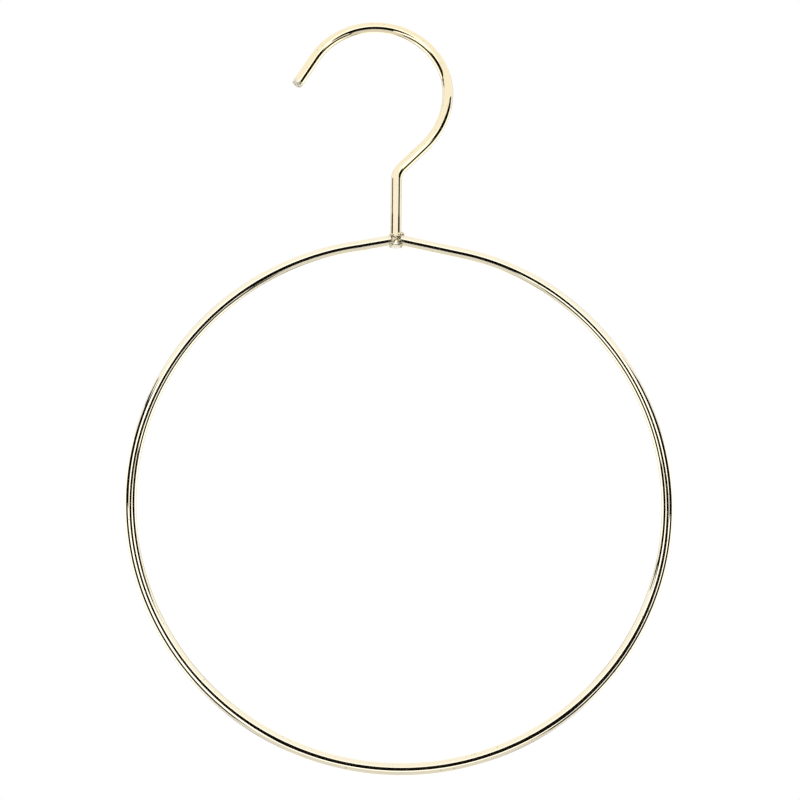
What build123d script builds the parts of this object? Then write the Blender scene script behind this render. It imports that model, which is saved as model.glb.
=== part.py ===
"""Wire wreath frame: a round hoop of plated wire that hangs from an open hook on a short stem.

Two lengths of round wire and the two welds that join them:

* hook_wire    cut tip, round crown, sweep back to the middle, and a straight stem whose foot
               stands in the gap of the hoop;
* hoop_wire    the round hoop, open where the stem stands, with both ends running straight up to
               the stem and coped to its flanks;
* weld_left    the small bead between the hoop's left end and the stem;
* weld_right   the larger bead between the hoop's right end and the stem.

The frame is drawn as it hangs: X across the hoop, Y through it with its face towards -Y, Z up.
The origin is the inside of the hook's crown, where a rail or a nail carries the frame.
All sizes are in millimetres, and angles in degrees.
"""
import os
from math import cos, radians, sin

from build123d import *

# Wire and hoop
WIRE_DIAMETER = 4.2
HOOP_OUTER_DIAMETER = 200.0
HOOP_BEHIND_STEM = 2.9  # the hoop's centre is this far to the right of the stem

# Hook, from its tip to its foot
TIP_LENGTH = 14.0  # straight run between the cut tip and the crown
TIP_CHAMFER = 0.3  # deburred edge of the cut tip
CROWN_RADIUS = 28.5  # to the middle of the wire
CROWN_BEFORE_TOP = 60.5  # how much of the crown lies on the tip's side of its top
CROWN_PAST_TOP = 91.5
SWEEP_RADIUS = 35.0  # the easier curve that brings the wire back to the middle
SWEEP_TURN = 41.5
STEM_BEND_RADIUS = 8.0
CROWN_TO_STEM = 8.4  # the stem stands this far to the right of the crown's centre
CROWN_ABOVE_HOOP = 162.9  # height of the crown's centre over the hoop's centre
FOOT_ABOVE_HOOP = 96.3  # height of the stem's cut foot over the hoop's centre

# The hoop's two ends leave its circle by a last bend, and then run straight to the stem
LEFT_LEAVES = 10.5  # measured from the top of the circle
LEFT_BEND_RADIUS = 30.0
LEFT_BEND_TURN = 1.5
RIGHT_LEAVES = 38.0
RIGHT_BEND_RADIUS = 89.1  # a little tighter than the hoop
RIGHT_BEND_TURN = 26.4
ROOT_GAP = 0.3  # between a coped end and the stem, filled by the weld
COPE_HEIGHT = 25.0  # tall enough to trim both ends

# Welds, as balls trimmed by the wires
LEFT_WELD_RADIUS = 2.5
RIGHT_WELD_RADIUS = 2.7
RIGHT_WELD_LIFT = 0.6  # it fills the corner above the hoop's end

# Derived sizes
WIRE_RADIUS = WIRE_DIAMETER / 2
HOOP_RADIUS = (HOOP_OUTER_DIAMETER - WIRE_DIAMETER) / 2
CROWN_CENTRE = Vector(0, WIRE_RADIUS - CROWN_RADIUS)
STEM_X = CROWN_TO_STEM
HOOP_CENTRE = Vector(STEM_X + HOOP_BEHIND_STEM, CROWN_CENTRE.Y - CROWN_ABOVE_HOOP)
FOOT_Z = HOOP_CENTRE.Y + FOOT_ABOVE_HOOP


def heading(angle):
    """A unit direction in the frame's plane, counter-clockwise from the right."""
    return Vector(cos(radians(angle)), sin(radians(angle)))


def wire_along(edges):
    """Round wire swept along a drawn path of tangent lines and arcs, stood up into the XZ plane."""
    path = Wire([Plane.XZ * edge for edge in edges])
    section = Plane(origin=path @ 0, z_dir=path % 0) * Circle(WIRE_RADIUS)
    return sweep(section, path=path)


def line_towards(start, direction, length):
    """A straight run of the given length."""
    return Line(start, start + direction * length)


def hook_wire():
    """Hook and stem in one length, from the cut tip to the foot between the hoop's ends."""
    crown_start = CROWN_CENTRE + heading(90 + CROWN_BEFORE_TOP) * CROWN_RADIUS
    into_crown = heading(CROWN_BEFORE_TOP)
    tip = line_towards(crown_start - into_crown * TIP_LENGTH, into_crown, TIP_LENGTH)
    crown = JernArc(crown_start, into_crown, CROWN_RADIUS, -CROWN_BEFORE_TOP - CROWN_PAST_TOP)
    sweep_back = JernArc(crown @ 1, crown % 1, SWEEP_RADIUS, -SWEEP_TURN)

    lean = CROWN_PAST_TOP - 90 + SWEEP_TURN
    bend_width = STEM_BEND_RADIUS * (1 - cos(radians(lean)))
    slant_width = (sweep_back @ 1).X - STEM_X - bend_width
    slant = line_towards(sweep_back @ 1, sweep_back % 1, slant_width / sin(radians(lean)))
    stem_bend = JernArc(slant @ 1, slant % 1, STEM_BEND_RADIUS, lean)
    stem = Line(stem_bend @ 1, (STEM_X, FOOT_Z))

    body = wire_along([tip, crown, sweep_back, slant, stem_bend, stem])
    tip_point = Vector((tip @ 0).X, 0, (tip @ 0).Y)
    tip_edge = body.edges().filter_by(GeomType.CIRCLE).sort_by_distance(tip_point)[0]
    return chamfer(tip_edge, TIP_CHAMFER)


def hoop_end(angle_from_top, side, radius, turn):
    """Path from the hoop's circle up to the stem's axis: side is -1 on the left, 1 on the right."""
    leaves = HOOP_CENTRE + heading(90 - side * angle_from_top) * HOOP_RADIUS
    inwards = heading(90 + side * (90 - angle_from_top))
    bend = JernArc(leaves, inwards, radius, turn)
    across = ((bend @ 1).X - STEM_X) * side
    run = line_towards(bend @ 1, bend % 1, across / abs((bend % 1).X))
    return bend, run

def hoop_wire(left_end, right_end):
    """The hoop in one length, with its ends coped around the stem."""
    circle = CenterArc(HOOP_CENTRE, HOOP_RADIUS, 90 + LEFT_LEAVES, 360 - LEFT_LEAVES - RIGHT_LEAVES)
    body = wire_along([*left_end, circle, *right_end])
    cope = Cylinder(WIRE_RADIUS + ROOT_GAP, COPE_HEIGHT)
    return body - Pos(STEM_X, 0, HOOP_CENTRE.Y + HOOP_RADIUS) * cope


def weld(end, side, radius, lift, *wires):
    """A bead around the butt of one hoop end on the stem's flank, trimmed by both wires."""
    run = end[-1]
    flank = run @ 1 + Vector(side * WIRE_RADIUS, (run % 1).Y / (run % 1).X * side * WIRE_RADIUS)
    bead = Pos(flank.X, 0, flank.Y + lift) * Sphere(radius)
    for wire in wires:
        bead -= wire
    return bead


def build():
    """Every piece, under the name of its node."""
    left_end = hoop_end(LEFT_LEAVES, -1, LEFT_BEND_RADIUS, LEFT_BEND_TURN)
    right_end = hoop_end(RIGHT_LEAVES, 1, RIGHT_BEND_RADIUS, RIGHT_BEND_TURN)
    hook = hook_wire()
    hoop = hoop_wire(left_end, right_end)
    return {
        "hook_wire": hook,
        "hoop_wire": hoop,
        "weld_left": weld(left_end, -1, LEFT_WELD_RADIUS, 0, hook, hoop),
        "weld_right": weld(right_end, 1, RIGHT_WELD_RADIUS, RIGHT_WELD_LIFT, hook, hoop),
    }


os.makedirs("parts", exist_ok=True)
for name, piece in build().items():
    export_step(piece, f"parts/{name}.step")
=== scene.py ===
"""Wire wreath frame: the finished look of the hook, the hoop and the two welds that join them.

Everything is in metres and in the frame's own axes: X across the hoop, Y through it with its face
towards -Y, Z up, and the origin inside the hook's crown. Each visible piece is grown by Geometry
Nodes from a path drawn in runs and bends, and stands for the CAD node of the same shape.
"""

from __future__ import annotations

import logging
import math
from dataclasses import dataclass, field
from enum import Enum
from typing import Any

import bpy
from mathutils import Matrix, Vector

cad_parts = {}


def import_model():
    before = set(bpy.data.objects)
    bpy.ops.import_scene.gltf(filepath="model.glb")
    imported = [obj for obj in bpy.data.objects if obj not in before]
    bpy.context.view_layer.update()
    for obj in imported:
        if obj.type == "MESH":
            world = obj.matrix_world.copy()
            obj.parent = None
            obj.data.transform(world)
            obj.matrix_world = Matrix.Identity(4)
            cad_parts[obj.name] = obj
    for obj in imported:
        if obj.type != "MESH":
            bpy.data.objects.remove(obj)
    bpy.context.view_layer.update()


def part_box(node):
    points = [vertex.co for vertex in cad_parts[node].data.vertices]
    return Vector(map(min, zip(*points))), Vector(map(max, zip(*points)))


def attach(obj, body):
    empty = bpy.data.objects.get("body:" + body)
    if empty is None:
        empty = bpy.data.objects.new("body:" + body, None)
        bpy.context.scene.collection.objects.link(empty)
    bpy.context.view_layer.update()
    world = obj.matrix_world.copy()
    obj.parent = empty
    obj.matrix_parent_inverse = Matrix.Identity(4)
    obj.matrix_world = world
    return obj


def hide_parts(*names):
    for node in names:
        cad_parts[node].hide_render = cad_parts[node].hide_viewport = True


LOG = logging.getLogger("wreath_frame")
MM = 0.001
BODY = "root"
STRAIGHTENED = "straightened"  # where a point would lie if its wire were pulled straight along Z
NOISE_MIDDLE = 0.5  # a noise texture gives values around this

Rgba = tuple[float, float, float, float]
Outline = tuple[tuple[float, float], ...]
Socket = bpy.types.NodeSocket


def linear(hex_colour: str) -> Rgba:
    """Turn an sRGB hex colour into the linear values that shaders take, by the standard's own curve.

    Args:
        hex_colour: six hexadecimal digits.

    Returns:
        Red, green, blue and an alpha of one.
    """
    channels = [int(hex_colour[start : start + 2], 16) / 255 for start in (0, 2, 4)]
    red, green, blue = (
        value / 12.92 if value <= 0.04045 else ((value + 0.055) / 1.055) ** 2.4 for value in channels
    )
    return (red, green, blue, 1.0)


def add_node(
    tree: bpy.types.NodeTree,
    kind: str,
    links: dict[str | int, Socket] | None = None,
    values: dict[str | int, Any] | None = None,
    **settings: Any,
) -> bpy.types.Node:
    """Add one node with its settings, its fixed values and its incoming links.

    Args:
        tree: the node tree to add to.
        kind: the node's type name.
        links: input sockets, by name or number, and the sockets that feed them.
        values: input sockets, by name or number, and their fixed values.
        **settings: properties of the node itself, set before its sockets are used.

    Returns:
        The new node.
    """
    node = tree.nodes.new(kind)
    for name, setting in settings.items():
        setattr(node, name, setting)
    for socket, value in (values or {}).items():
        node.inputs[socket].default_value = value
    for socket, source in (links or {}).items():
        tree.links.new(source, node.inputs[socket])
    return node


def calculate(tree: bpy.types.NodeTree, operation: str, *operands: Socket | float) -> Socket:
    """Add one math node.

    Args:
        tree: the node tree to add to.
        operation: the node's operation.
        *operands: the sockets or numbers that it works on, in order.

    Returns:
        The result's socket.
    """
    links = {slot: operand for slot, operand in enumerate(operands) if isinstance(operand, Socket)}
    values = {slot: operand for slot, operand in enumerate(operands) if slot not in links}
    return add_node(tree, "ShaderNodeMath", links, values, operation=operation).outputs[0]


def new_shader(name: str) -> tuple[bpy.types.Material, bpy.types.NodeTree]:
    """Make an empty node-based material.

    Args:
        name: the material's name.

    Returns:
        The material and its node tree.
    """
    material = bpy.data.materials.new(name)
    material.use_nodes = True
    material.node_tree.nodes.clear()
    return material, material.node_tree


def new_geometry_tree(name: str, inputs: dict[str, str]) -> tuple[bpy.types.NodeTree, bpy.types.Node]:
    """Make a Geometry Nodes tree with a geometry input and output and named inputs.

    Args:
        name: the tree's name.
        inputs: the names of its other inputs and their socket types.

    Returns:
        The tree and its input node.
    """
    tree = bpy.data.node_groups.new(name, "GeometryNodeTree")
    tree.interface.new_socket("Geometry", in_out="INPUT", socket_type="NodeSocketGeometry")
    tree.interface.new_socket("Geometry", in_out="OUTPUT", socket_type="NodeSocketGeometry")
    for input_name, socket_type in inputs.items():
        tree.interface.new_socket(input_name, in_out="INPUT", socket_type=socket_type)
    return tree, tree.nodes.new("NodeGroupInput")


def grow(
    name: str, curve: bpy.types.Curve, tree: bpy.types.NodeTree, inputs: dict[str, Any]
) -> bpy.types.Object:
    """Run a Geometry Nodes tree on a curve and keep the result as a plain mesh at the origin.

    Args:
        name: the name of the finished piece.
        curve: the curve that the tree takes as its geometry.
        tree: the tree to run.
        inputs: the tree's named inputs and their values.

    Returns:
        The finished mesh object.
    """
    carrier = bpy.data.objects.new(f"{name}_path", curve)
    bpy.context.scene.collection.objects.link(carrier)
    modifier = carrier.modifiers.new("grow", "NODES")
    modifier.node_group = tree
    for item in tree.interface.items_tree:
        if item.in_out == "INPUT" and item.name in inputs:
            modifier[item.identifier] = inputs[item.name]
    evaluated = carrier.evaluated_get(bpy.context.evaluated_depsgraph_get())
    mesh = bpy.data.meshes.new_from_object(evaluated)
    mesh.name = name
    bpy.data.objects.remove(carrier)
    bpy.data.curves.remove(curve)
    piece = bpy.data.objects.new(name, mesh)
    bpy.context.scene.collection.objects.link(piece)
    return piece


# ---------------------------------------------------------------- finishes


@dataclass(frozen=True)
class PlatedWire:
    """Pale gold electroplate on bright drawn steel wire.

    The plate is a mirror with a warm, light tint. What tells it from chrome is the straw colour;
    what tells it from cast brass is how even it is: only faint die lines run along the wire, the
    tint drifts a little with the plate's thickness, and handling has left a few dull specks.
    """

    name: str = "pale_gold_plated_drawn_wire"
    thin_plate: str = "FBF1D3"
    thick_plate: str = "F9E9C2"
    speck: str = "D8C391"
    roughness: float = 0.03
    die_line_roughness: float = 0.03
    speck_roughness: float = 0.22
    tint_width: float = 5.5 * MM
    tint_length: float = 22 * MM  # how far the tint holds along the wire
    die_line_width: float = 0.35 * MM  # real ones are finer; this is as fine as a render shows
    die_line_length: float = 30 * MM
    speck_size: float = 0.9 * MM
    speck_share: float = 0.70  # noise above this is a speck
    speck_edge: float = 0.03  # how softly it starts
    die_line_range: tuple[float, float] = (0.35, 0.75)  # noise between these runs from clean to worn
    die_line_depth: float = 0.0006 * MM
    orange_peel_width: float = 2.2 * MM
    orange_peel_length: float = 4.4 * MM
    orange_peel_depth: float = 0.0016 * MM
    noise_detail: float = 2.0

    def pattern(self, tree: bpy.types.NodeTree, place: Socket, across: float, along: float) -> Socket:
        """Add noise on the straightened wire.

        Args:
            tree: the material's tree.
            place: the straightened position.
            across: feature size around the wire.
            along: feature size along the wire.

        Returns:
            The noise value, about 0.5 on average.
        """
        stretched = add_node(
            tree, "ShaderNodeMapping", {"Vector": place}, {"Scale": (1 / across, 1 / across, 1 / along)}
        )
        noise = add_node(
            tree, "ShaderNodeTexNoise", {"Vector": stretched.outputs[0]},
            {"Scale": 1.0, "Detail": self.noise_detail},
        )
        return noise.outputs["Fac"]

    def material(self) -> bpy.types.Material:
        """Build the material.

        Returns:
            The material, which reads the straightened position.
        """
        material, tree = new_shader(self.name)
        place = add_node(
            tree, "ShaderNodeAttribute", attribute_name=STRAIGHTENED, attribute_type="GEOMETRY"
        ).outputs["Vector"]
        tint = self.pattern(tree, place, self.tint_width, self.tint_length)
        lines = self.pattern(tree, place, self.die_line_width, self.die_line_length)
        specks = self.pattern(tree, place, self.speck_size, self.speck_size)
        peel = self.pattern(tree, place, self.orange_peel_width, self.orange_peel_length)

        plate = add_node(
            tree, "ShaderNodeMix", {"Factor": tint},
            {"A": linear(self.thin_plate), "B": linear(self.thick_plate)},
            data_type="RGBA",
        )
        speck_mask = add_node(
            tree, "ShaderNodeMapRange", {"Value": specks},
            {"From Min": self.speck_share - self.speck_edge,
             "From Max": self.speck_share + self.speck_edge},
        )
        colour = add_node(
            tree, "ShaderNodeMix",
            {"Factor": speck_mask.outputs[0], "A": plate.outputs["Result"]},
            {"B": linear(self.speck)},
            data_type="RGBA",
        )
        drawn = add_node(
            tree, "ShaderNodeMapRange", {"Value": lines},
            {"From Min": self.die_line_range[0], "From Max": self.die_line_range[1],
             "To Min": self.roughness, "To Max": self.roughness + self.die_line_roughness},
        )
        dull = add_node(
            tree, "ShaderNodeMix", {"Factor": speck_mask.outputs[0], "A": drawn.outputs[0]},
            {"B": self.speck_roughness},
            data_type="FLOAT",
        )
        line_bump = add_node(
            tree, "ShaderNodeBump", {"Height": lines}, {"Strength": 1.0, "Distance": self.die_line_depth}
        )
        peel_bump = add_node(
            tree, "ShaderNodeBump", {"Height": peel, "Normal": line_bump.outputs[0]},
            {"Strength": 1.0, "Distance": self.orange_peel_depth},
        )
        surface = add_node(
            tree, "ShaderNodeBsdfPrincipled",
            {"Base Color": colour.outputs["Result"], "Roughness": dull.outputs["Result"],
             "Normal": peel_bump.outputs[0]},
            {"Metallic": 1.0},
        )
        add_node(tree, "ShaderNodeOutputMaterial", {"Surface": surface.outputs[0]})
        return material


@dataclass(frozen=True)
class PlatedCut:
    """The same plate over a sheared wire end.

    The shear leaves fine parallel ridges and a torn, duller patch, so the end face looks satin
    beside the mirror of the drawn surface.
    """

    name: str = "pale_gold_plated_cut_end"
    plate: str = "F8F2E0"
    torn: str = "E4DAC0"
    roughness: float = 0.22
    ridge: float = 0.35 * MM
    ridge_wander: float = 3.0
    ridge_detail: float = 2.0
    ridge_detail_scale: float = 2.0
    ridge_depth: float = 0.03 * MM
    ridge_strength: float = 0.6

    def material(self) -> bpy.types.Material:
        """Build the material.

        Returns:
            The material, which reads object coordinates.
        """
        material, tree = new_shader(self.name)
        place = add_node(tree, "ShaderNodeTexCoord").outputs["Object"]
        ridges = add_node(
            tree, "ShaderNodeTexWave", {"Vector": place},
            {"Scale": 0.5 / self.ridge, "Distortion": self.ridge_wander,
             "Detail": self.ridge_detail, "Detail Scale": self.ridge_detail_scale},
            bands_direction="Y",
        )
        colour = add_node(
            tree, "ShaderNodeMix", {"Factor": ridges.outputs["Fac"]},
            {"A": linear(self.torn), "B": linear(self.plate)},
            data_type="RGBA",
        )
        bump = add_node(
            tree, "ShaderNodeBump", {"Height": ridges.outputs["Fac"]},
            {"Strength": self.ridge_strength, "Distance": self.ridge_depth},
        )
        surface = add_node(
            tree, "ShaderNodeBsdfPrincipled",
            {"Base Color": colour.outputs["Result"], "Normal": bump.outputs[0]},
            {"Metallic": 1.0, "Roughness": self.roughness},
        )
        add_node(tree, "ShaderNodeOutputMaterial", {"Surface": surface.outputs[0]})
        return material


@dataclass(frozen=True)
class PlatedWeld:
    """The same plate over a resistance weld's flash.

    The metal froze in small lumps. The bead glitters where its lumps are smooth, and painted shade darkens
    its folds, taking the colour through brown to near black; the same dark tones fill blotches that noise
    scatters at random.
    """

    name: str = "pale_gold_plated_weld"
    plate: str = "F7EBC9"
    # The next two colours are painted shade: the brown half-tone and the near black that the folds take,
    # which the random blotches share.
    scale: str = "8F7748"
    fold_shade_and_blotch: str = "2A2012"
    smooth: float = 0.05
    rough: float = 0.4
    grain: float = 0.55 * MM
    grain_detail: float = 3.0
    grain_harshness: float = 0.6
    grain_depth: float = 0.09 * MM
    fold: tuple[float, float] = (0.45, 0.49)  # pointiness from the bottom of a fold to its edge, over which the painted shade fades out
    blemish: tuple[float, float] = (0.42, 0.47)  # noise from the middle of a dark spot to its edge
    half_shade_share: float = 0.4  # where the brown half-tone of the painted shade lies between the darkest tone and the plate

    def material(self) -> bpy.types.Material:
        """Build the material.

        Returns:
            The material, which reads object coordinates and the mesh's own folds, where it paints shade.
        """
        material, tree = new_shader(self.name)
        place = add_node(tree, "ShaderNodeTexCoord").outputs["Object"]
        crease = add_node(tree, "ShaderNodeNewGeometry").outputs["Pointiness"]
        blotch = add_node(
            tree, "ShaderNodeTexNoise", {"Vector": place},
            {"Scale": 1 / self.grain, "Detail": self.grain_detail, "Roughness": self.grain_harshness},
        ).outputs["Fac"]
        # Painted shade: the mesh's folds darken the colour.
        fold_shade_mask = add_node(
            tree, "ShaderNodeMapRange", {"Value": crease},
            {"From Min": self.fold[0], "From Max": self.fold[1]},
        ).outputs[0]
        unblotched = add_node(
            tree, "ShaderNodeMapRange", {"Value": blotch},
            {"From Min": self.blemish[0], "From Max": self.blemish[1]},
        ).outputs[0]
        # Painted shade in the folds, together with the random blotches, sets the colour and the roughness.
        unshaded_unblotched = calculate(tree, "MULTIPLY", fold_shade_mask, unblotched)
        colour = add_node(tree, "ShaderNodeValToRGB", {"Fac": unshaded_unblotched})
        ramp = colour.color_ramp
        ramp.elements[0].color = linear(self.fold_shade_and_blotch)
        ramp.elements[1].color = linear(self.plate)
        ramp.elements.new(self.half_shade_share).color = linear(self.scale)
        roughness = add_node(
            tree, "ShaderNodeMapRange", {"Value": unshaded_unblotched}, {"To Min": self.rough, "To Max": self.smooth}
        )
        bump = add_node(
            tree, "ShaderNodeBump", {"Height": blotch}, {"Strength": 1.0, "Distance": self.grain_depth}
        )
        surface = add_node(
            tree, "ShaderNodeBsdfPrincipled",
            {"Base Color": colour.outputs[0], "Roughness": roughness.outputs[0],
             "Normal": bump.outputs[0]},
            {"Metallic": 1.0},
        )
        add_node(tree, "ShaderNodeOutputMaterial", {"Surface": surface.outputs[0]})
        return material


# ---------------------------------------------------------------- paths


def polar(angle: float, distance: float) -> Vector:
    """A vector in the frame's plane, its angle in degrees counter-clockwise from the right."""
    return Vector((math.cos(math.radians(angle)), 0.0, math.sin(math.radians(angle)))) * distance


@dataclass
class BentPath:
    """The middle line of a wire, drawn in the frame's plane as straight runs and round bends."""

    start: Vector
    heading: float  # degrees, counter-clockwise from the right
    step: float = 0.8 * MM
    points: list[Vector] = field(default_factory=list)

    def __post_init__(self) -> None:
        """Put down the first point."""
        self.points.append(self.start.copy())

    def run(self, length: float) -> BentPath:
        """Go straight on.

        Args:
            length: how far.

        Returns:
            This path.
        """
        start = self.points[-1]
        direction = polar(self.heading, 1.0)
        count = max(1, math.ceil(length / self.step))
        self.points += [start + direction * (length * index / count) for index in range(1, count + 1)]
        return self

    def bend(self, radius: float, turn: float) -> BentPath:
        """Follow an arc.

        Args:
            radius: the arc's radius.
            turn: how far it turns, in degrees; positive is counter-clockwise.

        Returns:
            This path.
        """
        side = math.copysign(90, turn)
        centre = self.points[-1] + polar(self.heading + side, radius)
        count = max(2, math.ceil(radius * math.radians(abs(turn)) / self.step))
        for index in range(1, count + 1):
            self.points.append(centre + polar(self.heading - side + turn * index / count, radius))
        self.heading += turn
        return self


def curve_of(name: str, points: list[Vector], radii: list[float], closed: bool = False) -> bpy.types.Curve:
    """Make a curve through points.

    Args:
        name: the curve's name.
        points: where it goes.
        radii: the radius kept at each point, as a share of the full radius.
        closed: whether the last point joins the first.

    Returns:
        The curve.
    """
    curve = bpy.data.curves.new(name, "CURVE")
    curve.dimensions = "3D"
    spline = curve.splines.new("POLY")
    spline.points.add(len(points) - 1)
    for target, point, radius in zip(spline.points, points, radii, strict=True):
        target.co = (*point, 1.0)
        target.radius = radius
    spline.use_cyclic_u = closed
    return curve


# ---------------------------------------------------------------- wires


@dataclass
class CutEnd:
    """How a sheared and deburred wire end closes: a rounded edge and an almost flat face."""

    edge: float = 0.35 * MM
    crown: float = 0.12 * MM
    steps: int = 6
    face_rings: tuple[float, ...] = (0.75, 0.5, 0.25, 0.04)  # rings on the face, towards its middle

    def profile(self, wire_radius: float) -> list[tuple[float, float]]:
        """The end from its full width inwards.

        Args:
            wire_radius: half the wire's diameter.

        Returns:
            Pairs of the distance back from the end face and the share of the full radius.
        """
        rows = []
        for index in range(self.steps + 1):
            angle = math.radians(90 * index / self.steps)
            back = self.edge * (1 - math.sin(angle)) + self.crown
            rows.append((back, 1 - self.edge * (1 - math.cos(angle)) / wire_radius))
        flat = rows[-1][1]
        for share in self.face_rings:
            rows.append((self.crown * share * share, flat * share))
        return rows


@dataclass
class DrawnWire:
    """Round wire grown along a path, with its ends cut or left inside another piece."""

    radius: float
    sides: int = 48
    wave_height: float = 0.012 * MM  # hand-fed bending leaves the wire very slightly uneven
    wave_length: float = 9.0 * MM
    seed: float = 3.0
    end: CutEnd = field(default_factory=CutEnd)

    def tree(self) -> bpy.types.NodeTree:
        """Build the Geometry Nodes tree that turns a path into round wire.

        Returns:
            The tree.
        """
        tree, inputs = new_geometry_tree(
            "drawn_wire",
            {
                "Wire Radius": "NodeSocketFloat",
                "Sides": "NodeSocketInt",
                "Wave Height": "NodeSocketFloat",
                "Wave Length": "NodeSocketFloat",
                "Seed": "NodeSocketFloat",
                "Cut Depth": "NodeSocketFloat",
                "Wire Finish": "NodeSocketMaterial",
                "Cut Finish": "NodeSocketMaterial",
            },
        )
        given = inputs.outputs
        along = add_node(tree, "GeometryNodeSplineParameter")
        whole = add_node(tree, "GeometryNodeSplineLength")
        path = add_node(tree, "GeometryNodeCaptureAttribute", {"Geometry": given["Geometry"]})
        path.capture_items.new("FLOAT", "Along")
        path.capture_items.new("FLOAT", "Whole")
        tree.links.new(along.outputs["Length"], path.inputs["Along"])
        tree.links.new(whole.outputs["Length"], path.inputs["Whole"])

        circle = add_node(
            tree, "GeometryNodeCurvePrimitiveCircle", {"Resolution": given["Sides"]}, {"Radius": 1.0}
        )
        around = add_node(tree, "GeometryNodeSplineParameter")
        section = add_node(tree, "GeometryNodeCaptureAttribute", {"Geometry": circle.outputs["Curve"]})
        section.capture_items.new("FLOAT", "Around")
        tree.links.new(around.outputs["Factor"], section.inputs["Around"])

        share = add_node(tree, "GeometryNodeInputRadius")
        scale = calculate(tree, "MULTIPLY", share.outputs[0], given["Wire Radius"])
        swept = add_node(
            tree, "GeometryNodeCurveToMesh",
            {"Curve": path.outputs["Geometry"], "Profile Curve": section.outputs["Geometry"],
             "Scale": scale},
            {"Fill Caps": True},
        )
        angle = calculate(tree, "MULTIPLY", section.outputs["Around"], math.tau)
        east, north = (
            calculate(tree, "MULTIPLY", calculate(tree, function, angle), given["Wire Radius"])
            for function in ("COSINE", "SINE")
        )
        place = add_node(
            tree, "ShaderNodeCombineXYZ", {"X": east, "Y": north, "Z": path.outputs["Along"]}
        )
        named = add_node(
            tree, "GeometryNodeStoreNamedAttribute",
            {"Geometry": swept.outputs["Mesh"], "Value": place.outputs[0]}, {"Name": STRAIGHTENED},
            data_type="FLOAT_VECTOR", domain="POINT",
        )
        waves_per_metre = calculate(tree, "DIVIDE", 1.0, given["Wave Length"])
        waves = add_node(
            tree, "ShaderNodeTexNoise",
            {"Vector": place.outputs[0], "W": given["Seed"], "Scale": waves_per_metre},
            {"Detail": 1.0},
            noise_dimensions="4D",
        )
        centred = calculate(tree, "SUBTRACT", waves.outputs["Fac"], NOISE_MIDDLE)
        height = calculate(tree, "MULTIPLY", centred, given["Wave Height"])
        normal = add_node(tree, "GeometryNodeInputNormal")
        offset = add_node(
            tree, "ShaderNodeVectorMath", {0: normal.outputs[0], "Scale": height}, operation="SCALE"
        )
        uneven = add_node(
            tree, "GeometryNodeSetPosition",
            {"Geometry": named.outputs["Geometry"], "Offset": offset.outputs[0]},
        )
        to_go = calculate(tree, "SUBTRACT", path.outputs["Whole"], path.outputs["Along"])
        to_nearest_end = calculate(tree, "MINIMUM", to_go, path.outputs["Along"])
        is_cut = add_node(
            tree, "FunctionNodeCompare", {0: to_nearest_end, 1: given["Cut Depth"]},
            operation="LESS_THAN", data_type="FLOAT",
        )
        smooth = add_node(tree, "GeometryNodeSetShadeSmooth", {"Geometry": uneven.outputs[0]})
        solid = add_node(tree, "GeometryNodeRealizeInstances", {"Geometry": smooth.outputs[0]})
        plated = add_node(
            tree, "GeometryNodeSetMaterial",
            {"Geometry": solid.outputs[0], "Material": given["Wire Finish"]},
        )
        cut = add_node(
            tree, "GeometryNodeSetMaterial",
            {"Geometry": plated.outputs[0], "Material": given["Cut Finish"],
             "Selection": is_cut.outputs[0]},
        )
        add_node(tree, "NodeGroupOutput", {"Geometry": cut.outputs[0]})
        return tree

    def ended(self, points: list[Vector], at_start: bool) -> tuple[list[Vector], list[float]]:
        """Close one end of a path with the cut end's rounding.

        Args:
            points: the path, from the end to be closed inwards when at_start, else outwards.
            at_start: whether the first point is the end.

        Returns:
            The points that replace the end point, in path order, and their radius shares.
        """
        end, inner = (points[0], points[1]) if at_start else (points[-1], points[-2])
        back = (inner - end).normalized()
        rows = self.end.profile(self.radius)
        if at_start:
            rows = rows[::-1]
        return [end + back * distance for distance, _ in rows], [share for _, share in rows]

    def grown(
        self, name: str, path: BentPath, wire: bpy.types.Material, cut: bpy.types.Material
    ) -> bpy.types.Object:
        """Grow the wire.

        Args:
            name: the piece's name.
            path: its middle line, from end to end.
            wire: the drawn surface's material.
            cut: the end faces' material.

        Returns:
            The finished mesh object.
        """
        points = path.points
        first, first_shares = self.ended(points, True)
        last, last_shares = self.ended(points, False)
        rounded = 2 * self.end.edge  # the two ends replace the points that lie nearer than this
        keep = [p for p in points[1:-1]
                if min((p - points[0]).length, (p - points[-1]).length) > rounded]
        shares = first_shares + [1.0] * len(keep) + last_shares
        curve = curve_of(name, first + keep + last, shares)
        return grow(
            name, curve, self.tree(),
            {"Wire Radius": self.radius, "Sides": self.sides, "Wave Height": self.wave_height,
             "Wave Length": self.wave_length, "Seed": self.seed,
             "Cut Depth": self.radius - self.end.edge, "Wire Finish": wire, "Cut Finish": cut},
        )


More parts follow.
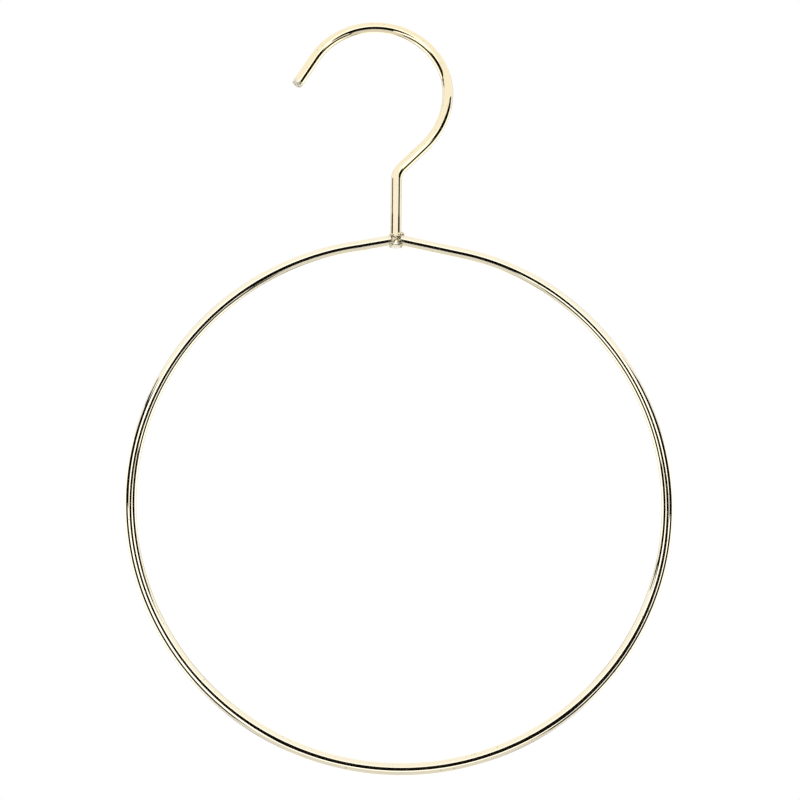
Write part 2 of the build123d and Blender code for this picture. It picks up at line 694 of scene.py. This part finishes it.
@dataclass
class HookWire:
    """The hook and its stem: one length of wire from the cut tip to the foot in the hoop's gap."""

    tip_length: float = 14.0 * MM
    crown_before_top: float = 60.5
    crown_past_top: float = 91.5
    sweep_radius: float = 35.0 * MM
    sweep_turn: float = 41.5
    stem_bend_radius: float = 8.0 * MM
    crown_to_stem: float = 8.4 * MM
    seed: float = 3.0

    def build(self, wire: bpy.types.Material, cut: bpy.types.Material) -> bpy.types.Object:
        """Grow the hook in the place of its CAD node.

        Args:
            wire: the drawn surface's material.
            cut: the end faces' material.

        Returns:
            The finished piece.
        """
        low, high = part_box("hook_wire")
        radius = (high.y - low.y) / 2
        crown_radius = high.x - radius
        crown = Vector((0.0, 0.0, high.z - radius - crown_radius))
        heading = self.crown_before_top
        start = crown + polar(90 + self.crown_before_top, crown_radius) - polar(heading, self.tip_length)
        path = BentPath(start, heading).run(self.tip_length)
        path.bend(crown_radius, -self.crown_before_top - self.crown_past_top)
        path.bend(self.sweep_radius, -self.sweep_turn)
        lean = self.crown_past_top - 90 + self.sweep_turn
        bend_width = self.stem_bend_radius * (1 - math.cos(math.radians(lean)))
        slant_width = path.points[-1].x - self.crown_to_stem - bend_width
        path.run(slant_width / math.sin(math.radians(lean)))
        path.bend(self.stem_bend_radius, lean)
        path.run(path.points[-1].z - low.z)
        piece = DrawnWire(radius, seed=self.seed).grown("hook", path, wire, cut)
        return claim(piece, "hook_wire")


@dataclass
class HoopWire:
    """The round hoop: one length of wire whose two ends run straight up to the stem."""

    stem_x: float = 8.4 * MM
    left_leaves: float = 10.5  # degrees from the top
    left_bend_radius: float = 30.0 * MM
    left_bend_turn: float = 1.5
    right_leaves: float = 38.0
    right_bend_radius: float = 89.1 * MM
    right_bend_turn: float = 26.4
    hidden_in_stem: float = 1.2 * MM
    seed: float = 11.0

    def circle(self) -> tuple[Vector, float, float]:
        """Read the hoop from its CAD node.

        Returns:
            Its centre, its radius to the middle of the wire, and the wire's radius.
        """
        low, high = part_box("hoop_wire")
        wire_radius = (high.y - low.y) / 2
        radius = (high.x - low.x) / 2 - wire_radius
        centre = Vector(((low.x + high.x) / 2, 0.0, low.z + wire_radius + radius))
        return centre, radius, wire_radius

    def end(self, side: int) -> BentPath:
        """Draw one end of the hoop from its circle to the stem's middle line.

        Args:
            side: -1 for the left end and 1 for the right one.

        Returns:
            The end's path.
        """
        leaves, bend_radius, turn = (
            (self.left_leaves, self.left_bend_radius, self.left_bend_turn) if side < 0
            else (self.right_leaves, self.right_bend_radius, self.right_bend_turn)
        )
        centre, radius, _ = self.circle()
        path = BentPath(centre + polar(90 - side * leaves, radius), 90 + side * (90 - leaves))
        path.bend(bend_radius, turn)
        across = (path.points[-1].x - self.stem_x) * side
        return path.run(across / abs(math.cos(math.radians(path.heading))))

    def build(self, wire: bpy.types.Material, cut: bpy.types.Material) -> bpy.types.Object:
        """Grow the hoop in the place of its CAD node.

        Args:
            wire: the drawn surface's material.
            cut: the end faces' material.

        Returns:
            The finished piece.
        """
        centre, radius, wire_radius = self.circle()
        path = BentPath(centre + polar(90 + self.left_leaves, radius), 180 + self.left_leaves)
        path.bend(radius, 360 - self.left_leaves - self.right_leaves)
        left, right = (
            [p for p in self.end(side).points[1:] if abs(p.x - self.stem_x) > self.hidden_in_stem]
            for side in (-1, 1)
        )
        path.points = left[::-1] + path.points + right
        piece = DrawnWire(wire_radius, seed=self.seed).grown("hoop", path, wire, cut)
        return claim(piece, "hoop_wire")


def claim(piece: bpy.types.Object, node: str) -> bpy.types.Object:
    """Tie a finished piece to the frame.

    Args:
        piece: the piece.
        node: the CAD node that it stands for.

    Returns:
        The piece.
    """
    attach(piece, BODY)
    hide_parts(node)
    return piece


# ---------------------------------------------------------------- welds


@dataclass
class WeldBead:
    """The small lumpy fillet around the seam where one end of the hoop meets the stem."""

    name: str
    node: str
    side: int  # -1 left of the stem, 1 right of it
    end: BentPath  # the hoop's end, up to where its middle line crosses the stem's
    wire_radius: float
    lump: float
    corner_gain: float  # how much larger the drops are in the upper corner
    seed: int
    spread: float = 0.35
    spacing: float = 0.35 * MM
    wander: float = 0.12 * MM
    voxel: float = 0.1 * MM
    skin_threshold: float = 0.1
    melting_steps: int = 4

    def seam(self, count: int = 96) -> tuple[list[Vector], list[float]]:
        """Trace where the surfaces of two equal round wires meet.

        Args:
            count: how many points to take.

        Returns:
            The points and the share of the full drop that each one carries.
        """
        away = polar(self.end.heading + 180, 1.0)
        across = Vector((-away.z, 0.0, away.x)) * self.side
        points, shares = [], []
        for index in range(count):
            turn = math.tau * index / count
            rim = across * math.cos(turn) + Vector((0.0, math.sin(turn), 0.0))
            rim *= self.wire_radius
            reach = math.sqrt(max(self.wire_radius**2 - rim.y**2, 0.0))
            points.append(self.end.points[-1] + rim + away * ((self.side * reach - rim.x) / away.x))
            shares.append(1.0 + self.corner_gain * max(0.0, math.cos(turn)) ** 2)
        return points, shares

    def tree(self) -> bpy.types.NodeTree:
        """Build the Geometry Nodes tree that strings molten drops along a seam and fuses them.

        Returns:
            The tree.
        """
        tree, inputs = new_geometry_tree(
            "weld_bead",
            {
                "Lump": "NodeSocketFloat",
                "Spread": "NodeSocketFloat",
                "Spacing": "NodeSocketFloat",
                "Wander": "NodeSocketFloat",
                "Voxel": "NodeSocketFloat",
                "Seed": "NodeSocketInt",
                "Finish": "NodeSocketMaterial",
            },
        )
        given = inputs.outputs
        drops = add_node(
            tree, "GeometryNodeCurveToPoints", {"Curve": given["Geometry"], "Length": given["Spacing"]},
            mode="LENGTH",
        )
        smallest = calculate(tree, "SUBTRACT", 1.0, given["Spread"])
        largest = calculate(tree, "ADD", 1.0, given["Spread"])
        share = add_node(
            tree, "FunctionNodeRandomValue", {"Min": smallest, "Max": largest, "Seed": given["Seed"]},
            data_type="FLOAT",
        )
        local = add_node(tree, "GeometryNodeInputRadius")
        full = calculate(tree, "MULTIPLY", local.outputs[0], given["Lump"])
        size = calculate(tree, "MULTIPLY", share.outputs[1], full)
        astray = add_node(
            tree, "FunctionNodeRandomValue", {"Seed": given["Seed"]},
            {0: (-1.0, -1.0, -1.0), 1: (1.0, 1.0, 1.0)},
            data_type="FLOAT_VECTOR",
        )
        shift = add_node(
            tree, "ShaderNodeVectorMath", {0: astray.outputs[0], "Scale": given["Wander"]},
            operation="SCALE",
        )
        scattered = add_node(
            tree, "GeometryNodeSetPosition",
            {"Geometry": drops.outputs["Points"], "Offset": shift.outputs[0]},
        )
        volume = add_node(
            tree, "GeometryNodePointsToVolume",
            {"Points": scattered.outputs[0], "Voxel Size": given["Voxel"], "Radius": size},
            resolution_mode="VOXEL_SIZE",
        )
        skin = add_node(
            tree, "GeometryNodeVolumeToMesh",
            {"Volume": volume.outputs["Volume"], "Voxel Size": given["Voxel"]},
            {"Threshold": self.skin_threshold},
            resolution_mode="VOXEL_SIZE",
        )
        position = add_node(tree, "GeometryNodeInputPosition")
        soft = add_node(
            tree, "GeometryNodeBlurAttribute", {"Value": position.outputs[0]},
            {"Iterations": self.melting_steps},
            data_type="FLOAT_VECTOR",
        )
        melted = add_node(
            tree, "GeometryNodeSetPosition",
            {"Geometry": skin.outputs["Mesh"], "Position": soft.outputs[0]},
        )
        smooth = add_node(tree, "GeometryNodeSetShadeSmooth", {"Geometry": melted.outputs[0]})
        solid = add_node(tree, "GeometryNodeRealizeInstances", {"Geometry": smooth.outputs[0]})
        plated = add_node(
            tree, "GeometryNodeSetMaterial", {"Geometry": solid.outputs[0], "Material": given["Finish"]}
        )
        add_node(tree, "NodeGroupOutput", {"Geometry": plated.outputs[0]})
        return tree

    def build(self, finish: bpy.types.Material) -> bpy.types.Object:
        """Grow the bead in the place of its CAD node.

        Args:
            finish: the bead's material.

        Returns:
            The finished piece.
        """
        points, shares = self.seam()
        piece = grow(
            self.name, curve_of(self.name, points, shares, closed=True), self.tree(),
            {"Lump": self.lump, "Spread": self.spread, "Spacing": self.spacing, "Wander": self.wander,
             "Voxel": self.voxel, "Seed": self.seed, "Finish": finish},
        )
        return claim(piece, self.node)


# ---------------------------------------------------------------- studio


@dataclass
class StudioCamera:
    """The camera, a little left of the middle and well below it, looking up at the frame."""

    place: Vector = field(default_factory=lambda: Vector((-7.30, -504.80, -303.94)) * MM)
    aim: Vector = field(default_factory=lambda: Vector((10.67, 0.0, -154.19)) * MM)
    roll: float = 0.587  # degrees
    lens: float = 63.72
    sensor: float = 36.0
    nearest: float = 0.01  # what lies nearer isn't drawn

    def build(self) -> None:
        """Stand the camera up and make it the scene's."""
        camera = bpy.data.cameras.new("camera")
        camera.lens = self.lens
        camera.sensor_width = self.sensor
        camera.clip_start = self.nearest
        rig = bpy.data.objects.new("camera", camera)
        turned = (self.aim - self.place).to_track_quat("-Z", "Y").to_matrix().to_4x4()
        rig.matrix_world = (
            Matrix.Translation(self.place) @ turned @ Matrix.Rotation(math.radians(self.roll), 4, "Z")
        )
        bpy.context.scene.collection.objects.link(rig)
        bpy.context.scene.camera = rig


class CardFinish(Enum):
    """What a card in the studio shows to the metal: its brightness."""

    FLAG = 0.004
    SOFTBOX = 1.5
    WHITE_WALL = 1.3
    TABLE = 0.75


@dataclass(frozen=True)
class Hanging:
    """Where a rolled card hangs around the frame."""

    finish: CardFinish
    distance: float  # from the upright line through the hoop's centre
    turn: tuple[float, float]  # its two edges, in degrees from straight in front, positive to the right
    rise: tuple[float, float]  # its lowest and highest edge, in degrees above the hoop's centre


@dataclass
class Card:
    """A card that only reflections see: flat, or rolled around the frame like a screen."""

    name: str
    finish: CardFinish
    corners: list[Vector]
    faces: list[tuple[int, ...]]

    @classmethod
    def flat(cls, name: str, finish: CardFinish, corners: list[Vector]) -> Card:
        """Cut a flat card with the given corners."""
        return cls(name, finish, corners, [tuple(range(len(corners)))])

    @classmethod
    def upright(cls, name: str, finish: CardFinish, y: float, outline: Outline) -> Card:
        """Stand a flat card up in front of the frame, at y, with its outline given in X and Z."""
        return cls.flat(name, finish, [Vector((x, y, z)) for x, z in outline])

    @classmethod
    def level_disc(cls, name: str, finish: CardFinish, centre: Vector, radius: float) -> Card:
        """Lay down a round card.

        Args:
            name: the card's name.
            finish: how bright it is.
            centre: its middle.
            radius: its radius.

        Returns:
            The card.
        """
        count = 64
        rim = [polar(360 * index / count, radius) for index in range(count)]
        return cls.flat(name, finish, [centre + Vector((point.x, point.z, 0.0)) for point in rim])

    @classmethod
    def screen(cls, name: str, centre: Vector, hanging: Hanging, mirrored: bool = False) -> Card:
        """Roll a card around an upright line through the frame.

        Args:
            name: the card's name.
            centre: a point on the upright line.
            hanging: where it hangs.
            mirrored: whether it hangs on the left instead of the right.

        Returns:
            The card.
        """
        steps = 24
        side = -1 if mirrored else 1
        start, end = (side * angle for angle in hanging.turn)
        low, high = (hanging.distance * math.tan(math.radians(angle)) for angle in hanging.rise)
        corners = []
        for index in range(steps + 1):
            angle = math.radians(start + (end - start) * index / steps)
            foot = centre + Vector((math.sin(angle), -math.cos(angle), 0.0)) * hanging.distance
            corners += [foot + Vector((0.0, 0.0, low)), foot + Vector((0.0, 0.0, high))]
        faces = [(2 * k, 2 * k + 2, 2 * k + 3, 2 * k + 1) for k in range(steps)]
        return cls(name, hanging.finish, corners, faces)

    def build(self) -> None:
        """Hang the card up, hidden from everything but reflections."""
        mesh = bpy.data.meshes.new(self.name)
        mesh.from_pydata(self.corners, [], self.faces)
        material, tree = new_shader(self.name)
        light = add_node(
            tree, "ShaderNodeEmission", None,
            {"Color": (1.0, 1.0, 1.0, 1.0), "Strength": self.finish.value},
        )
        add_node(tree, "ShaderNodeOutputMaterial", {"Surface": light.outputs[0]})
        mesh.materials.append(material)
        card = bpy.data.objects.new(self.name, mesh)
        card.visible_camera = False
        card.visible_diffuse = False
        card.visible_transmission = False
        card.visible_volume_scatter = False
        card.visible_shadow = False
        bpy.context.scene.collection.objects.link(card)


@dataclass
class Studio:
    """A white room with a pale floor, and the cards that draw the dark and bright lines in the metal."""

    floor_drop: float = 0.1  # how far the floor lies under the hoop
    floor_radius: float = 3.0
    floor_fade: tuple[float, float] = (0.25, 0.98)  # shares of its radius between which it fades
    floor_paint: str = "F7F6F3"
    floor_roughness: float = 0.8
    room: float = 1.0
    softbox_y: float = -0.60
    softbox: Outline = ((-0.72, -0.98), (0.72, -0.98), (0.72, 0.13), (-0.72, 0.13))
    # This lopsided flag, and the flap that folds from its foot towards the hoop, draw the middle line
    flag_y: float = -0.52
    flag: Outline = (
        (-0.27, -0.10), (-0.12, -0.04), (0.05, -0.045), (0.26, -0.055), (0.42, -0.14), (0.54, -0.36),
        (0.48, -0.60), (-0.22, -0.60), (-0.26, -0.34),
    )
    flap_y: float = -0.263
    flap_z: float = -0.46
    flap_x: tuple[float, float] = (-0.17, 0.34)
    # These hang on the left and on the right alike, and draw the lines along the sides of the wire
    pairs: tuple[tuple[str, Hanging], ...] = (
        ("flag", Hanging(CardFinish.FLAG, 0.66, (55, 90), (-50, 8))),
        ("high_flag", Hanging(CardFinish.FLAG, 0.66, (38, 92), (8, 28.5))),
        ("wall", Hanging(CardFinish.WHITE_WALL, 1.5, (96, 180), (-60, 22))),
        ("back_flag", Hanging(CardFinish.FLAG, 1.3, (146, 160), (-50, 40))),
    )
    # These hang above them, each at its own place, and draw the two thin lines of the stem
    strips: tuple[tuple[str, Hanging], ...] = (
        ("left_strip", Hanging(CardFinish.FLAG, 0.66, (-110, -68), (28.5, 31.3))),
        ("right_strip", Hanging(CardFinish.FLAG, 0.66, (42, 88), (28.5, 31.3))),
        ("left_high_strip", Hanging(CardFinish.FLAG, 0.66, (-104, -76), (31.3, 35))),
        ("right_high_strip", Hanging(CardFinish.FLAG, 0.66, (46, 82), (31.3, 35))),
    )
    table_drop: float = 1.0  # how far the table that tones the wire's underside lies under the hoop
    table_radius: float = 1.4

    def world(self) -> None:
        """Fill the room with even white light."""
        world = bpy.data.worlds.new("white_room")
        world.use_nodes = True
        world.node_tree.nodes.clear()
        light = add_node(
            world.node_tree, "ShaderNodeBackground", None,
            {"Color": (1.0, 1.0, 1.0, 1.0), "Strength": self.room},
        )
        add_node(world.node_tree, "ShaderNodeOutputWorld", {"Surface": light.outputs[0]})
        bpy.context.scene.world = world

    def floor(self, height: float) -> None:
        """Lay a round pale floor whose rim fades into the room.

        Args:
            height: its level.
        """
        count = 96
        rim = [polar(360 * index / count, self.floor_radius) for index in range(count)]
        mesh = bpy.data.meshes.new("floor")
        mesh.from_pydata([(point.x, point.z, height) for point in rim], [], [list(range(count))])
        material, tree = new_shader("pale_studio_floor")
        place = add_node(tree, "ShaderNodeTexCoord").outputs["Object"]
        distance = add_node(tree, "ShaderNodeVectorMath", {0: place}, operation="LENGTH")
        fade = add_node(
            tree, "ShaderNodeMapRange", {"Value": distance.outputs["Value"]},
            {"From Min": self.floor_radius * self.floor_fade[0],
             "From Max": self.floor_radius * self.floor_fade[1]},
            interpolation_type="SMOOTHSTEP",
        )
        paint = add_node(
            tree, "ShaderNodeBsdfDiffuse", None,
            {"Color": linear(self.floor_paint), "Roughness": self.floor_roughness},
        )
        nothing = add_node(tree, "ShaderNodeBsdfTransparent")
        mixed = add_node(
            tree, "ShaderNodeMixShader",
            {0: fade.outputs[0], 1: paint.outputs[0], 2: nothing.outputs[0]},
        )
        add_node(tree, "ShaderNodeOutputMaterial", {"Surface": mixed.outputs[0]})
        mesh.materials.append(material)
        floor = bpy.data.objects.new("floor", mesh)
        floor.visible_glossy = False
        bpy.context.scene.collection.objects.link(floor)

    def cards(self, hoop: Vector) -> None:
        """Hang the cards.

        Args:
            hoop: the hoop's centre.
        """
        Card.upright("front_softbox", CardFinish.SOFTBOX, self.softbox_y, self.softbox).build()
        Card.upright("front_flag", CardFinish.FLAG, self.flag_y, self.flag).build()
        foot_z = min(z for _, z in self.flag)
        foot_left, foot_right = sorted(x for x, z in self.flag if z == foot_z)
        flap_left, flap_right = self.flap_x
        Card.flat("front_flap", CardFinish.FLAG, [
            Vector((foot_left, self.flag_y, foot_z)),
            Vector((foot_right, self.flag_y, foot_z)),
            Vector((flap_right, self.flap_y, self.flap_z)),
            Vector((flap_left, self.flap_y, self.flap_z)),
        ]).build()
        for mirrored, word in ((True, "left"), (False, "right")):
            for name, hanging in self.pairs:
                Card.screen(f"{word}_{name}", hoop, hanging, mirrored).build()
        for name, hanging in self.strips:
            Card.screen(name, hoop, hanging).build()
        table = hoop - Vector((0.0, 0.0, self.table_drop))
        Card.level_disc("table", CardFinish.TABLE, table, self.table_radius).build()

    def build(self) -> None:
        """Set the whole studio up."""
        low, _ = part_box("hoop_wire")
        self.world()
        self.floor(low.z - self.floor_drop)
        self.cards(HoopWire().circle()[0])
        bpy.context.scene.view_settings.view_transform = "Standard"
        bpy.context.scene.view_settings.look = "None"


def main() -> None:
    """Build the studio and every piece, and log how many faces each piece has."""
    logging.basicConfig(level=logging.INFO, format="%(name)s: %(message)s")
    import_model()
    StudioCamera().build()
    Studio().build()
    hook_plate = PlatedWire("pale_gold_plated_hook_wire").material()
    # The hoop takes a paler copy of the hook's plate: the extra paleness is a painted highlight, standing
    # in for the paler reflected bands along the hoop.
    hoop_plate = PlatedWire(
        "pale_gold_plated_hoop_wire_painted_paler", thin_plate="FCF5E0", thick_plate="FAEFD2"
    ).material()
    cut = PlatedCut().material()
    weld = PlatedWeld().material()
    hook = HookWire()
    hoop = HoopWire()
    wire_radius = hoop.circle()[2]
    pieces = [
        hook.build(hook_plate, cut),
        hoop.build(hoop_plate, cut),
        WeldBead("weld_bead_left", "weld_left", -1, hoop.end(-1), wire_radius,
                 lump=0.5 * MM, corner_gain=0.2, seed=4).build(weld),
        WeldBead("weld_bead_right", "weld_right", 1, hoop.end(1), wire_radius,
                 lump=0.62 * MM, corner_gain=0.7, seed=9).build(weld),
    ]
    for piece in pieces:
        LOG.info("%s: %d faces", piece.name, len(piece.data.polygons))


if __name__ == "__main__":
    main()
